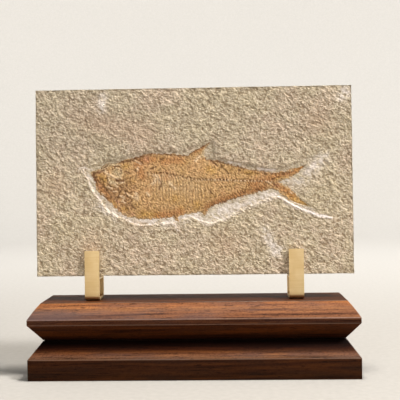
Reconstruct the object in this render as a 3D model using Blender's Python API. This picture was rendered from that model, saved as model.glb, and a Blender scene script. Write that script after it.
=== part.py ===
"""Fossil fish slab standing in two brass clips on a two-tier wooden stand.

+X is to the right and +Y to the back, seen from the front; +Z is up. The origin is under the middle
of the stand, on the surface it stands on. Lengths are in metres. The slab and the fish are
modelled in the slab's own frame, an empty at the middle of the slab's lower front edge: X across,
Z up the face, and +Y into the stone. A "height" there is how far a surface stands out, towards -Y.
"""
import math
import random

import bmesh
import bpy
from mathutils import Vector, noise
from mathutils.geometry import delaunay_2d_cdt

MM = 0.001
FIT_GAP = 0.3 * MM          # clearance between pieces that touch

# Wooden stand: two blocks of the same length and depth, bevelled to a shared neck
STAND_LENGTH = 210.0 * MM
STAND_DEPTH = 52.0 * MM
PLINTH_FACE_HEIGHT = 13.3 * MM
PLINTH_BEVEL_HEIGHT = 10.9 * MM
NECK_INSET = 8.6 * MM
UNDER_BEVEL_HEIGHT = 10.9 * MM
BAND_HEIGHT = 3.5 * MM
TOP_BEVEL_HEIGHT = 9.8 * MM
TOP_INSET = 7.5 * MM
TOP_BEVEL_BULGE = 0.45 * MM
ARRIS_ROUND = 0.5 * MM
STAND_TOP_Z = (PLINTH_FACE_HEIGHT + PLINTH_BEVEL_HEIGHT + UNDER_BEVEL_HEIGHT
               + BAND_HEIGHT + TOP_BEVEL_HEIGHT)

# Limestone slab, leaning back a little
SLAB_WIDTH = 205.6 * MM
SLAB_HEIGHT = 121.7 * MM
SLAB_THICKNESS = 15.0 * MM
SLAB_LEAN = math.radians(2.1)
SLAB_LIFT = 15.7 * MM       # lower front edge above the stand's top
SLAB_FRONT_Y = -9.3 * MM    # lower front edge
SLAB_SHIFT_X = 0.8 * MM
ROUGHNESS = 0.9 * MM        # depth of the split face's lumps
FACET_SIZE = 3.6 * MM
RECESS_DEPTH = 1.4 * MM     # chiselled hollow round the fish
RECESS_WALL = 2.2 * MM
POCKET_DEPTH = 3.4 * MM     # seat that the bone layer lies in

# Brass clips: one bent strip each, with a shelf under the slab
CLIP_WIDTH = 9.5 * MM
STRIP_THICKNESS = 1.6 * MM
BEND_RADIUS = 5.2 * MM      # middle of the strip
FRONT_LIP_TOP = 32.2 * MM   # above the stand's top
BACK_LEG_TOP = 38.0 * MM
CLIP_SPACING = 131.7 * MM
CLIP_SHIFT_X = 0.4 * MM


def millimetres(*pairs):
    return [Vector((x * MM, y * MM)) for x, y in pairs]


# Outlines on the slab's face: across from its middle, and up from its lower edge
BACK_LINE = millimetres(
    (-65.3, 66.9), (-60.7, 69.6), (-54.1, 72.8), (-47.7, 74.2), (-41.1, 75.8), (-35.8, 77.3),
    (-30.4, 78.6), (-25.0, 79.0), (-16.3, 78.9), (-8.8, 78.0), (-3.3, 77.9))
DORSAL_FIN = millimetres((0.2, 80.4), (5.2, 82.3), (10.0, 84.6), (8.9, 79.6))
REAR_BACK_LINE = millimetres(
    (8.7, 75.1), (16.0, 73.7), (23.5, 71.8), (29.5, 70.0), (36.3, 68.3), (44.4, 66.8), (49.8, 65.2))
UPPER_TAIL_LOBE = millimetres(
    (54.6, 65.6), (62.0, 66.8), (66.1, 68.5), (69.5, 70.1), (73.2, 71.0), (71.5, 68.4),
    (68.0, 65.2), (64.6, 62.7), (57.8, 61.3))
TAIL_FORK = millimetres((53.6, 59.7))
LOWER_TAIL_LOBE = millimetres(
    (58.2, 57.0), (62.6, 54.4), (65.8, 51.0), (69.4, 47.9), (72.8, 45.5), (76.2, 42.9),
    (70.0, 44.1), (65.1, 46.4), (60.4, 49.8), (55.0, 53.8))
REAR_BELLY_LINE = millimetres(
    (51.2, 55.8), (45.6, 54.5), (38.8, 52.7), (31.9, 50.7), (25.1, 48.8), (18.3, 46.9),
    (11.5, 44.6), (6.6, 41.6))
BELLY_LINE = millimetres(
    (0.4, 40.6), (-7.2, 39.1), (-16.8, 37.3), (-26.5, 36.3), (-35.2, 36.1), (-41.0, 37.4),
    (-46.9, 40.4), (-52.3, 45.8), (-58.2, 50.7), (-63.0, 55.8), (-63.9, 60.6))
FISH_OUTLINE = (BACK_LINE + DORSAL_FIN + REAR_BACK_LINE + UPPER_TAIL_LOBE + TAIL_FORK
                + LOWER_TAIL_LOBE + REAR_BELLY_LINE + BELLY_LINE)

RECESS_OUTLINE = millimetres(
    (-71.5, 69.8), (-66.5, 72.6), (-58.0, 75.6), (-48.0, 77.8), (-38.0, 80.4), (-30.0, 81.9),
    (-16.0, 82.2), (-5.2, 81.6), (0.0, 84.4), (6.0, 86.8), (12.0, 88.0), (15.0, 85.6),
    (15.2, 76.8), (23.0, 75.0), (30.0, 73.4), (40.0, 71.0), (49.5, 69.4), (58.0, 70.0),
    (64.0, 72.2), (70.0, 75.2), (79.7, 78.5), (88.5, 78.0), (86.5, 71.5), (82.0, 64.0),
    (81.0, 56.0), (84.5, 47.0), (90.0, 37.0), (82.5, 36.2), (75.7, 38.8), (69.0, 41.6),
    (62.4, 45.2), (55.7, 50.0), (49.5, 48.9), (42.1, 46.4), (33.0, 42.6), (25.0, 38.4),
    (18.1, 35.2), (10.0, 33.0), (4.6, 34.6), (-1.6, 37.2), (-8.6, 34.8), (-15.8, 33.6),
    (-24.0, 32.6), (-35.7, 32.4), (-41.6, 34.6), (-47.0, 37.4), (-52.3, 39.4), (-57.6, 43.4),
    (-60.9, 48.8), (-65.4, 53.4), (-68.0, 60.6), (-71.0, 66.0))

BACKBONE = millimetres(
    (-43.0, 67.6), (-31.3, 66.9), (-18.4, 66.2), (-8.2, 64.4), (3.3, 62.2), (17.8, 61.6),
    (32.1, 60.9), (46.5, 60.5), (53.0, 59.9))
ORBIT_CENTRE = Vector((-49.0 * MM, 66.2 * MM))
ORBIT_RADIUS = 3.7 * MM
JAW_LINE = millimetres((-62.6, 60.2), (-56.4, 60.0), (-51.0, 57.4), (-46.4, 54.4))
GILL_COVER_EDGE = millimetres((-40.2, 73.8), (-36.4, 67.0), (-34.2, 58.0), (-36.4, 49.0), (-42.4, 41.0))

# Relief of the bone layer: heights from the slab's front plane, towards the viewer
BONE_EDGE_HEIGHT = -1.35 * MM
BONE_SWELL = 0.75 * MM
RIB_PITCH = 2.6 * MM
RIB_HEIGHT = 0.22 * MM
RIB_SLANT = 0.22            # sideways run of a rib per unit down, and of a spine per unit up
SPINE_SLANT = 0.35
RAY_HEIGHT = 0.2 * MM
TAIL_RAYS = 44              # rays in a full turn, as the tail's fan would have
BACKBONE_HEIGHT = 0.8 * MM
PLATE_STEP = 0.35 * MM      # gill cover and jaw stand out by about this much


def clear_scene():
    for thing in list(bpy.data.objects):
        bpy.data.objects.remove(thing, do_unlink=True)


def make_material(name, colour, roughness, metallic=0.0):
    material = bpy.data.materials.new(name)
    material.use_nodes = True
    shader = material.node_tree.nodes["Principled BSDF"]
    shader.inputs["Base Color"].default_value = (*colour, 1.0)
    shader.inputs["Roughness"].default_value = roughness
    shader.inputs["Metallic"].default_value = metallic
    return material


def add_object(name, mesh_bm, material, sharp_angle=math.radians(30)):
    """Turn a bmesh into a named object with outward faces and its material."""
    bmesh.ops.recalc_face_normals(mesh_bm, faces=mesh_bm.faces)
    mesh = bpy.data.meshes.new(name)
    mesh_bm.to_mesh(mesh)
    mesh_bm.free()
    mesh.materials.append(material)
    mesh.shade_smooth()
    mesh.set_sharp_from_angle(angle=sharp_angle)
    thing = bpy.data.objects.new(name, mesh)
    bpy.context.scene.collection.objects.link(thing)
    return thing


# ---------------------------------------------------------------- wooden stand

def stacked_block(name, rings, material):
    """A rectangular block from (inset, z) rings, bottom to top, with rounded arrises."""
    block = bmesh.new()
    loops = []
    for inset, z in rings:
        half_x = STAND_LENGTH / 2 - inset
        half_y = STAND_DEPTH / 2 - inset
        corners = ((-half_x, -half_y), (half_x, -half_y), (half_x, half_y), (-half_x, half_y))
        loops.append([block.verts.new((x, y, z)) for x, y in corners])
    block.faces.new(loops[0])
    block.faces.new(loops[-1])
    for lower, upper in zip(loops, loops[1:]):
        for i in range(4):
            block.faces.new((lower[i - 1], lower[i], upper[i], upper[i - 1]))
    thing = add_object(name, block, material)
    rounding = thing.modifiers.new("rounded arrises", "BEVEL")
    rounding.width = ARRIS_ROUND
    rounding.segments = 2
    rounding.limit_method = "ANGLE"
    rounding.angle_limit = math.radians(20)
    return thing


def make_stand(wood):
    neck_z = PLINTH_FACE_HEIGHT + PLINTH_BEVEL_HEIGHT
    stacked_block("plinth", [(0.0, 0.0), (0.0, PLINTH_FACE_HEIGHT),
                             (NECK_INSET, neck_z - FIT_GAP / 2)], wood)
    band_z = neck_z + UNDER_BEVEL_HEIGHT
    rings = [(NECK_INSET, neck_z + FIT_GAP / 2), (0.0, band_z), (0.0, band_z + BAND_HEIGHT)]
    steps = 3
    for i in range(1, steps + 1):
        part = i / steps
        bulge = TOP_BEVEL_BULGE * math.sin(math.pi * part)
        rings.append((TOP_INSET * part - bulge, band_z + BAND_HEIGHT + TOP_BEVEL_HEIGHT * part))
    stacked_block("stand_top", rings, wood)


# ---------------------------------------------------------------- brass clips

def slab_point(depth, up):
    """(y, z) of a point in the side view, depth into the stone and up the slab's face."""
    return Vector((SLAB_FRONT_Y + depth * math.cos(SLAB_LEAN) + up * math.sin(SLAB_LEAN),
                   STAND_TOP_Z + SLAB_LIFT - depth * math.sin(SLAB_LEAN) + up * math.cos(SLAB_LEAN)))


def rounded_path(corners, radius, steps):
    """The polyline through corners with each inner corner turned into an arc."""
    path = [corners[0]]
    for before, corner, after in zip(corners, corners[1:], corners[2:]):
        towards_before = (before - corner).normalized()
        towards_after = (after - corner).normalized()
        half_angle = towards_before.angle(towards_after) / 2
        bisector = (towards_before + towards_after).normalized()
        centre = corner + bisector * (radius / math.sin(half_angle))
        start = corner + towards_before * (radius / math.tan(half_angle)) - centre
        end = corner + towards_after * (radius / math.tan(half_angle)) - centre
        turn = start.angle_signed(end)
        for i in range(steps + 1):
            angle = -turn * i / steps
            path.append(centre + Vector((start.x * math.cos(angle) - start.y * math.sin(angle),
                                         start.x * math.sin(angle) + start.y * math.cos(angle))))
    path.append(corners[-1])
    return path


def ribbon_outline(path, thickness):
    """The closed outline of a strip of this thickness along a path."""
    left, right = [], []
    for i, point in enumerate(path):
        ahead = (path[min(i + 1, len(path) - 1)] - path[max(i - 1, 0)]).normalized()
        side = Vector((-ahead.y, ahead.x)) * (thickness / 2)
        left.append(point + side)
        right.append(point - side)
    return left + right[::-1]


def extrude_side_view(name, outline, centre_x, width, material):
    """A solid from a closed (y, z) outline, this wide along X."""
    solid = bmesh.new()
    near = [solid.verts.new((centre_x - width / 2, y, z)) for y, z in outline]
    face = solid.faces.new(near)
    grown = bmesh.ops.extrude_face_region(solid, geom=[face])
    far = [item for item in grown["geom"] if isinstance(item, bmesh.types.BMVert)]
    bmesh.ops.translate(solid, verts=far, vec=(width, 0.0, 0.0))
    return add_object(name, solid, material)


def make_clip(name, centre_x, brass):
    half = STRIP_THICKNESS / 2
    foot_z = STAND_TOP_Z + FIT_GAP + half
    front = -FIT_GAP - half
    back = SLAB_THICKNESS + FIT_GAP + half
    front_top = slab_point(front, (FRONT_LIP_TOP - SLAB_LIFT) / math.cos(SLAB_LEAN))
    back_top = slab_point(back, (BACK_LEG_TOP - SLAB_LIFT) / math.cos(SLAB_LEAN))
    lean = math.tan(SLAB_LEAN)
    front_foot = Vector((front_top.x - (front_top.y - foot_z) * lean, foot_z))
    back_foot = Vector((back_top.x - (back_top.y - foot_z) * lean, foot_z))
    path = rounded_path([front_top, front_foot, back_foot, back_top], BEND_RADIUS, 6)
    clip = extrude_side_view(name, ribbon_outline(path, STRIP_THICKNESS), centre_x, CLIP_WIDTH, brass)

    shelf_top = -FIT_GAP
    shelf_bottom = shelf_top - STRIP_THICKNESS
    shelf_outline = [slab_point(front, shelf_bottom), slab_point(back, shelf_bottom),
                     slab_point(back, shelf_top), slab_point(front, shelf_top)]
    shelf = extrude_side_view(name + "_shelf_shape", shelf_outline, centre_x, CLIP_WIDTH, brass)
    shelf.hide_render = True
    shelf.display_type = "WIRE"
    soldered = clip.modifiers.new("soldered shelf", "BOOLEAN")
    soldered.operation = "UNION"
    soldered.object = shelf


# ---------------------------------------------------------------- outlines and relief

def along(line):
    """Segments of an open line as (start, end) pairs."""
    return list(zip(line, line[1:]))


def around(loop):
    """Segments of a closed loop as (start, end) pairs."""
    return list(zip(loop, loop[1:] + loop[:1]))


def distance_to(point, segments):
    best = float("inf")
    for start, end in segments:
        run = end - start
        part = max(0.0, min(1.0, (point - start).dot(run) / run.length_squared))
        best = min(best, (point - start - run * part).length)
    return best


def is_inside(point, loop):
    inside = False
    for start, end in around(loop):
        if (start.y > point.y) != (end.y > point.y):
            crossing = start.x + (point.y - start.y) * (end.x - start.x) / (end.y - start.y)
            if point.x < crossing:
                inside = not inside
    return inside


def grown(loop, distance):
    """A clockwise loop moved outwards by a distance, with mitred corners."""
    moved = []
    for before, corner, after in zip(loop[-1:] + loop[:-1], loop, loop[1:] + loop[:1]):
        first = (corner - before).normalized()
        second = (after - corner).normalized()
        normals = Vector((-first.y, first.x)) + Vector((-second.y, second.x))
        moved.append(corner + normals * (2 * distance / normals.length_squared))
    return moved


def split_long(loop, longest):
    """The same closed loop with extra points on every side longer than a length."""
    points = []
    for start, end in around(loop):
        pieces = max(1, math.ceil((end - start).length / longest))
        points += [start.lerp(end, i / pieces) for i in range(pieces)]
    return points


def ease(value):
    value = max(0.0, min(1.0, value))
    return value * value * (3 - 2 * value)


def height_at(line, x):
    """The height of a left-to-right line at x."""
    for start, end in along(line):
        if start.x <= x <= end.x:
            return start.y + (end.y - start.y) * (x - start.x) / (end.x - start.x)
    return line[0].y if x < line[0].x else line[-1].y


def height_at_gill(y):
    """Where the gill cover's rear edge is at this height up the slab."""
    upside = [Vector((point.y, point.x)) for point in reversed(GILL_COVER_EDGE)]
    return height_at(upside, y)


def stone_height(point):
    """Height of the split limestone face: lumps, and the hollow round the fish."""
    lumps = noise.noise(Vector((point.x / (9 * MM), point.y / (7 * MM), 3.1)))
    grit = noise.noise(Vector((point.x / (3.1 * MM), point.y / (3.1 * MM), 8.7)))
    height = -ROUGHNESS * (0.5 + 0.28 * lumps + 0.5 * grit)
    if is_inside(point, RECESS_OUTLINE):
        hollow = ease(distance_to(point, around(RECESS_OUTLINE)) / RECESS_WALL)
        height = height * (1 - 0.7 * hollow) - RECESS_DEPTH * hollow
    return min(height, -0.05 * MM)


def rib_offset(x, y):
    """How far along the fish a rib or spine has drifted where it passes (x, y)."""
    drop = height_at(BACKBONE, x) - y
    return drop * (RIB_SLANT if drop > 0 else -SPINE_SLANT)


def head_relief(point):
    """Gill cover, eye socket, jaw groove and broken plates of the skull."""
    relief = PLATE_STEP * ease(distance_to(point, along(GILL_COVER_EDGE)) / (2 * MM))
    relief -= 2 * PLATE_STEP * (1 - ease((point - ORBIT_CENTRE).length / ORBIT_RADIUS - 0.4))
    relief -= PLATE_STEP * (1 - ease(distance_to(point, along(JAW_LINE)) / (1.4 * MM)))
    return relief + PLATE_STEP * noise.noise(Vector((point.x, point.y, 5 * MM)) / (3.5 * MM))


def bone_height(point):
    """Height of the bone layer: body swell, backbone, ribs, skull plates and fin rays."""
    x, y = point
    edge = distance_to(point, around(FISH_OUTLINE))
    height = BONE_EDGE_HEIGHT + BONE_SWELL * ease(edge / (9 * MM))
    if x > BACKBONE[-1].x:
        bearing = math.atan2(y - TAIL_FORK[0].y, x - REAR_BACK_LINE[4].x)
        height += RAY_HEIGHT * math.cos(bearing * TAIL_RAYS)
    elif x > height_at_gill(y):
        to_spine = abs(y - height_at(BACKBONE, x))
        height += BACKBONE_HEIGHT * max(0.0, 1 - to_spine / (1.6 * MM))
        ribs = math.cos(2 * math.pi * (x - rib_offset(x, y)) / RIB_PITCH)
        height += RIB_HEIGHT * ribs * ease(to_spine / (2 * MM)) * ease(edge / (1.5 * MM))
    else:
        height += head_relief(point)
    return height


def triangulated(rings, loose_points):
    """Points and triangles inside clockwise rings, and which rings each triangle lies in."""
    points, loops = [], []
    for ring in rings:
        loops.append(list(range(len(points), len(points) + len(ring)))[::-1])
        points = points + ring
    verts, _, faces, _, _, owners = delaunay_2d_cdt(points + loose_points, [], loops, 1, 1e-7)
    return verts, faces, owners


def place(mesh_bm, point, height):
    return mesh_bm.verts.new((point.x, -height, point.y))


def add_wall(mesh_bm, top, bottom):
    for i in range(len(top)):
        mesh_bm.faces.new((top[i - 1], top[i], bottom[i], bottom[i - 1]))


# ---------------------------------------------------------------- slab and fish

def slab_outline():
    """Clockwise outline of the face: straight sawn edges, with the top right corner chipped."""
    half = SLAB_WIDTH / 2
    chip = 1.4 * MM
    corners = [Vector((-half, 0.0)), Vector((-half, SLAB_HEIGHT)),
               Vector((half - chip, SLAB_HEIGHT)), Vector((half, SLAB_HEIGHT - chip)),
               Vector((half, 0.0))]
    return split_long(corners, FACET_SIZE)


def scattered_points(keep_clear_of, spacing, seed):
    """A loosely filled field of points over the face, clear of the given segments."""
    spread = random.Random(seed)
    points = []
    rows = int(SLAB_HEIGHT / (spacing * 0.87))
    columns = int(SLAB_WIDTH / spacing)
    for row in range(1, rows):
        for column in range(columns + 1):
            x = -SLAB_WIDTH / 2 + (column + 0.5 * (row % 2)) * spacing
            point = Vector((x + spread.uniform(-0.28, 0.28) * spacing,
                            row * SLAB_HEIGHT / rows + spread.uniform(-0.28, 0.28) * spacing))
            if abs(point.x) < SLAB_WIDTH / 2 and distance_to(point, keep_clear_of) > spacing * 0.42:
                points.append(point)
    return points


def make_slab(stone, frame):
    outline = slab_outline()
    pocket = grown(FISH_OUTLINE, FIT_GAP)
    rings = [outline, split_long(RECESS_OUTLINE, FACET_SIZE), pocket]
    segments = [side for ring in rings for side in around(ring)]
    wall_foot = split_long(grown(RECESS_OUTLINE, -RECESS_WALL), FACET_SIZE)
    loose = [point for point in wall_foot if distance_to(point, segments) > 0.8 * RECESS_WALL]
    loose += scattered_points(segments, FACET_SIZE, 7)
    loose = [point for point in loose if not is_inside(point, pocket)]
    verts, faces, owners = triangulated(rings, loose)

    slab = bmesh.new()
    top = [place(slab, point, stone_height(point)) for point in verts]
    pocket_start = len(rings[0]) + len(rings[1])
    pocket_top = top[pocket_start:pocket_start + len(pocket)]
    pocket_floor = [place(slab, point, -POCKET_DEPTH) for point in pocket]
    for face, owner in zip(faces, owners):
        if rings.index(pocket) in owner:
            slab.faces.new([pocket_floor[i - pocket_start] for i in face])
        else:
            slab.faces.new([top[i] for i in face])
    add_wall(slab, pocket_top, pocket_floor)
    back = [place(slab, point, -SLAB_THICKNESS) for point in outline]
    add_wall(slab, top[:len(outline)], back)
    slab.faces.new(back)
    thing = add_object("slab", slab, stone, math.radians(4))
    thing.parent = frame


def body_points():
    """Rows of points down the crest and the trough of every rib, and over the head."""
    upper = BACK_LINE + REAR_BACK_LINE
    lower = (REAR_BELLY_LINE + BELLY_LINE)[::-1]
    rows = 11
    points = []
    first = math.ceil(2 * BELLY_LINE[-1].x / RIB_PITCH)
    last = math.floor(2 * BACKBONE[-1].x / RIB_PITCH)
    for column in range(first, last + 1):
        x = column * RIB_PITCH / 2
        top_y = height_at(upper, x)
        bottom_y = height_at(lower, x)
        for row in range(1, rows):
            y = bottom_y + (top_y - bottom_y) * row / rows
            points.append(Vector((x + rib_offset(x, y), y)))
    return points


def fin_points(line_start, line_end, half_width, rays):
    """Points along rays that fan out from one end of a fin to the other."""
    run = line_end - line_start
    across = Vector((-run.y, run.x)).normalized()
    steps = int(run.length / (2.2 * MM))
    return [line_start + run * (step / steps) + across * (half_width * ray / rays)
            for step in range(steps + 1) for ray in range(-rays, rays + 1)]


def make_fish(bone, frame):
    tail_root = TAIL_FORK[0]
    loose = body_points()
    loose += fin_points(tail_root + Vector((1.5 * MM, 2.4 * MM)), UPPER_TAIL_LOBE[4], 1.8 * MM, 2)
    loose += fin_points(tail_root + Vector((1.5 * MM, -3.4 * MM)), LOWER_TAIL_LOBE[5], 1.8 * MM, 2)
    loose += fin_points(DORSAL_FIN[0] + Vector((1.0 * MM, -1.6 * MM)), DORSAL_FIN[2], 2.0 * MM, 2)
    outline = split_long(FISH_OUTLINE, 2.4 * MM)
    sides = around(FISH_OUTLINE)
    loose = [point for point in loose
             if is_inside(point, FISH_OUTLINE) and distance_to(point, sides) > 0.5 * MM]
    verts, faces, _ = triangulated([outline], loose)

    fish = bmesh.new()
    top = [place(fish, point, bone_height(point)) for point in verts]
    for face in faces:
        fish.faces.new([top[i] for i in face])
    underside = [place(fish, point, FIT_GAP - POCKET_DEPTH) for point in outline]
    add_wall(fish, top[:len(outline)], underside)
    fish.faces.new(underside)
    thing = add_object("fossil_fish", fish, bone, math.radians(8))
    thing.parent = frame


clear_scene()
limestone = make_material("limestone", (0.58, 0.48, 0.35), 0.9)
fossil_bone = make_material("fossil_bone", (0.45, 0.24, 0.09), 0.7)
satin_brass = make_material("satin_brass", (0.72, 0.50, 0.22), 0.35, 1.0)
walnut = make_material("walnut", (0.17, 0.07, 0.04), 0.45)

make_stand(walnut)
for side, name in ((-1, "clip_left"), (1, "clip_right")):
    make_clip(name, CLIP_SHIFT_X + side * CLIP_SPACING / 2, satin_brass)

slab_frame = bpy.data.objects.new("slab_frame", None)
bpy.context.scene.collection.objects.link(slab_frame)
slab_frame.location = (SLAB_SHIFT_X, SLAB_FRONT_Y, STAND_TOP_Z + SLAB_LIFT)
slab_frame.rotation_euler = (-SLAB_LEAN, 0.0, 0.0)
make_slab(limestone, slab_frame)
make_fish(fossil_bone, slab_frame)
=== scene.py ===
import math

import bmesh
import bpy
import numpy as np
from mathutils import Matrix, Vector, noise


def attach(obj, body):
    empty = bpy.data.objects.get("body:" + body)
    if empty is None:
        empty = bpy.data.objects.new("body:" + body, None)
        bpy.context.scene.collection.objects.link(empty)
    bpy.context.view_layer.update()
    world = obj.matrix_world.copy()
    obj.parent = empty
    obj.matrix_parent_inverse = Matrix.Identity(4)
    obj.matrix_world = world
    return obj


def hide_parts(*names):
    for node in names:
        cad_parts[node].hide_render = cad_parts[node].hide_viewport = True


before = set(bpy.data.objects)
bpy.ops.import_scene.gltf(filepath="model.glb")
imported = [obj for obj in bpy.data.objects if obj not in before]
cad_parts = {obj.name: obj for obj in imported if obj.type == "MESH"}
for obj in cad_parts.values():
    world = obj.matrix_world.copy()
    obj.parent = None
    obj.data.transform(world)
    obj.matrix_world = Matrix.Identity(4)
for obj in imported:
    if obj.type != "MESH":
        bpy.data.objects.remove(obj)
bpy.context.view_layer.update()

mm = 0.001


def switchTo(mode):
    bpy.ops.object.mode_set(mode=mode)


def deselectAll():
    if bpy.context.object and bpy.context.object.mode == "EDIT":
        switchTo("OBJECT")
    bpy.ops.object.select_all(action="DESELECT")


def applyTransform():
    bpy.ops.object.transform_apply(location=True, rotation=True, scale=True)


def extrudeEdges(up):
    bpy.ops.mesh.extrude_edges_move(TRANSFORM_OT_translate={"value": (0, 0, up)})


def selectOnly(kind, wanted):
    # the vertices, edges or faces for which wanted says yes, and no others
    bpy.ops.mesh.select_mode(type=kind)
    bpy.ops.mesh.select_all(action="DESELECT")
    cage = bmesh.from_edit_mesh(bpy.context.object.data)
    for element in {"VERT": cage.verts, "EDGE": cage.edges, "FACE": cage.faces}[kind]:
        if wanted(element):
            element.select_set(True)
    bmesh.update_edit_mesh(bpy.context.object.data)


def selectRim(level=None):
    # the open edges, or only those that lie at this height (mm)
    selectOnly("EDGE", lambda edge: edge.is_boundary and (
        level is None or all(abs(vert.co.z - level * mm) < 0.01 * mm for vert in edge.verts)))


def linear(hexColour):
    # sRGB hex to the linear values that the shader sockets take
    channels = [int(hexColour[i:i + 2], 16) / 255 for i in (1, 3, 5)]
    return tuple(c / 12.92 if c <= 0.04045 else ((c + 0.055) / 1.055) ** 2.4 for c in channels) + (1.0,)


def addNode(tree, kind, settings=None, inputs=None):
    # settings are the node's own properties, and stops fill a colour ramp
    # inputs are numbers, hex colours, sockets to link, or nodes whose first output is linked
    node = tree.nodes.new("ShaderNode" + kind)
    for key, value in (settings or {}).items():
        if key != "stops":
            setattr(node, key, value)
            continue
        points = node.color_ramp.elements
        points.remove(points[1])
        for i, (position, shade) in enumerate(value):
            point = points.new(position) if i else points[0]
            point.position = position
            point.color = linear(shade) if isinstance(shade, str) else (shade, shade, shade, 1)
    for key, value in (inputs or {}).items():
        if isinstance(value, bpy.types.Node):
            value = value.outputs[0]
        if isinstance(value, bpy.types.NodeSocket):
            tree.links.new(value, node.inputs[key])
        else:
            node.inputs[key].default_value = linear(value) if isinstance(value, str) else value
    return node


def layOver(tree, tone, layers):
    # colours laid over a tone one after another: (mask, share, colour)
    for mask, share, colour in layers:
        amount = addNode(tree, "Math", {"operation": "MULTIPLY"}, {0: mask, 1: share})
        tone = addNode(tree, "Mix", {"data_type": "RGBA"}, {0: amount, 6: tone, 7: colour}).outputs[2]
    return tone


def shadeBy(tree, tone, mask, gain, stops):
    # a tone darkened and lightened by a mask that is 0 in the middle
    level = addNode(tree, "Math", {"operation": "MULTIPLY_ADD"}, {0: mask, 1: gain, 2: 0.5})
    shade = addNode(tree, "ValToRGB", {"stops": stops}, {"Fac": level})
    multiplied = {"data_type": "RGBA", "blend_type": "MULTIPLY"}
    return addNode(tree, "Mix", multiplied, {0: 0.9, 6: tone, 7: shade}).outputs[2]


def newMaterial(name):
    material = bpy.data.materials.new(name)
    material.use_nodes = True
    material.node_tree.nodes.clear()
    return material, material.node_tree


def newPiece(name, replaced):
    # the active object becomes a finished piece: named, on the body, in place of its CAD solid
    piece = bpy.context.object
    piece.name = name
    piece.data.name = name
    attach(piece, "root")
    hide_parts(replaced)
    return piece


# camera: a 72 mm lens about half a metre in front
camera = {"lens": 72, "sensor": 36, "place": (0.02122, -0.52418, 0.12295),
          "yaw": -1.811, "pitch": 1.142, "roll": -0.806}    # degrees
yaw, pitch, roll = (math.radians(camera[k]) for k in ("yaw", "pitch", "roll"))
ahead = Vector((math.sin(yaw) * math.cos(pitch), math.cos(yaw) * math.cos(pitch), -math.sin(pitch)))
across = Vector((math.cos(yaw), -math.sin(yaw), 0))
upward = across.cross(ahead)
sideways = across * math.cos(roll) + upward * math.sin(roll)
overhead = upward * math.cos(roll) - across * math.sin(roll)
turned = Matrix((sideways, overhead, -ahead)).transposed()
cameraData = bpy.data.cameras.new("camera")
cameraData.lens = camera["lens"]
cameraData.sensor_width = camera["sensor"]
cameraObject = bpy.data.objects.new("camera", cameraData)
cameraObject.matrix_world = Matrix.Translation(camera["place"]) @ turned.to_4x4()
bpy.context.scene.collection.objects.link(cameraObject)
bpy.context.scene.camera = cameraObject
print("camera set")


# the slab has its own frame: u across from its middle, v up its face, depth into the stone (all mm)
slab = {
    "width": 205.6, "height": 121.7, "thickness": 15,
    "lean": 2.1,                    # degrees, backwards
    "corner": (0.8, -9.3, 64.1),    # middle of the lower front edge
    "cell": 0.58, "backCell": 2.2,  # spacing of the points on the front and the back
    "rings": [0.5, 1.4, 3.4, 6.6, 10, 13.4],    # depths of the points on the sides
    "fineBand": 1.5,                # half width of the finer squares along the tool's lines
    "faceDepth": 0.6,              # mean depth of the split face
    "grainTurn": -31,             # the split's grain runs down to the right
    # grains and flat chips of the split face: (size, stretch, height, turn)
    "grains": [(0.76, 2.2, 0.36, 0), (0.55, 1.7, 0.25, -4), (2.2, 2, 0.3, -6)],
    "chips": [(1, 1.5, 0.25, 5), (1.9, 1.6, 0.33, -8)],
    "swellSize": 13, "swellHeight": 0.3,
    "recessDepth": 1.4, "upperWall": 2.7, "lowerWall": 1.1,    # the hollow, and how wide its walls slope
    "seatDepth": 1.6,               # how much deeper it is under the fish
    "arris": 0.35,                  # rounding of the sawn edges
    "backDepth": 0.42, "backLump": 0.55,
    "sideDepth": 0.12, "sideWave": 0.16, "sideRipple": 0.14, "cornerRub": 0.3,
}
lean = math.radians(slab["lean"])
slabRight = np.array((1, 0, 0))
slabUp = np.array((0, math.sin(lean), math.cos(lean)))
slabIn = np.array((0, math.cos(lean), -math.sin(lean)))


def grainFrame(u, v, size, turn, stretch):
    # coordinates counted in grains, which are drawn out along a direction turned from +u
    angle = np.radians(turn)
    return ((u * np.cos(angle) + v * np.sin(angle)) / (size * stretch),
            (v * np.cos(angle) - u * np.sin(angle)) / size)


def noiseAt(u, v, size, seed, turn=0, stretch=1):
    # Perlin noise on the face
    return np.array([noise.noise((x, y, seed)) for x, y in zip(*grainFrame(u, v, size, turn, stretch))])


def noiseIn(u, v, depth, size, depthSize):
    # Perlin noise in the stone
    return np.array([noise.noise((a / size, b / size, c / depthSize)) for a, b, c in zip(u, v, depth)])


def drifted(u, v, shift, size, seeds):
    # the same points, pushed about by noise
    return [place + shift * noiseAt(u, v, size, seed) for place, seed in zip((u, v), seeds)]


def patches(u, v, base, gain, size, seed, turn=0, stretch=1):
    return (base + gain * noiseAt(u, v, size, seed, turn, stretch)).clip(0, 1)


def chipsAt(u, v, size, seed, turn, stretch):
    # flat chips: the plane round the nearest point of a jittered grid, each tilted its own way
    a, b = grainFrame(u, v, size, turn, stretch)
    nearest, height = np.full(len(u), 1e9), np.zeros(len(u))
    for stepA in (-1, 0, 1):
        for stepB in (-1, 0, 1):
            cellA, cellB = np.floor(a) + stepA, np.floor(b) + stepB
            shiftA, shiftB, tiltA, tiltB, level = (
                np.modf(np.abs(np.sin(cellA * p + cellB * q + seed)) * 43758.5)[0]
                for p, q in ((127.1, 311.7), (269.5, 183.3), (113.5, 271.9), (246.1, 124.6), (71.7, 97.3)))
            x, y = a - cellA - shiftA, b - cellB - shiftB
            away = x * x + y * y
            plane = (2 * tiltA - 1) * x + (2 * tiltB - 1) * y + 0.8 * (level - 0.5)
            height = np.where(away < nearest, plane, height)
            nearest = np.minimum(away, nearest)
    return height


def ease(t):
    t = np.clip(t, 0, 1)
    return t * t * (3 - 2 * t)


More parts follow.
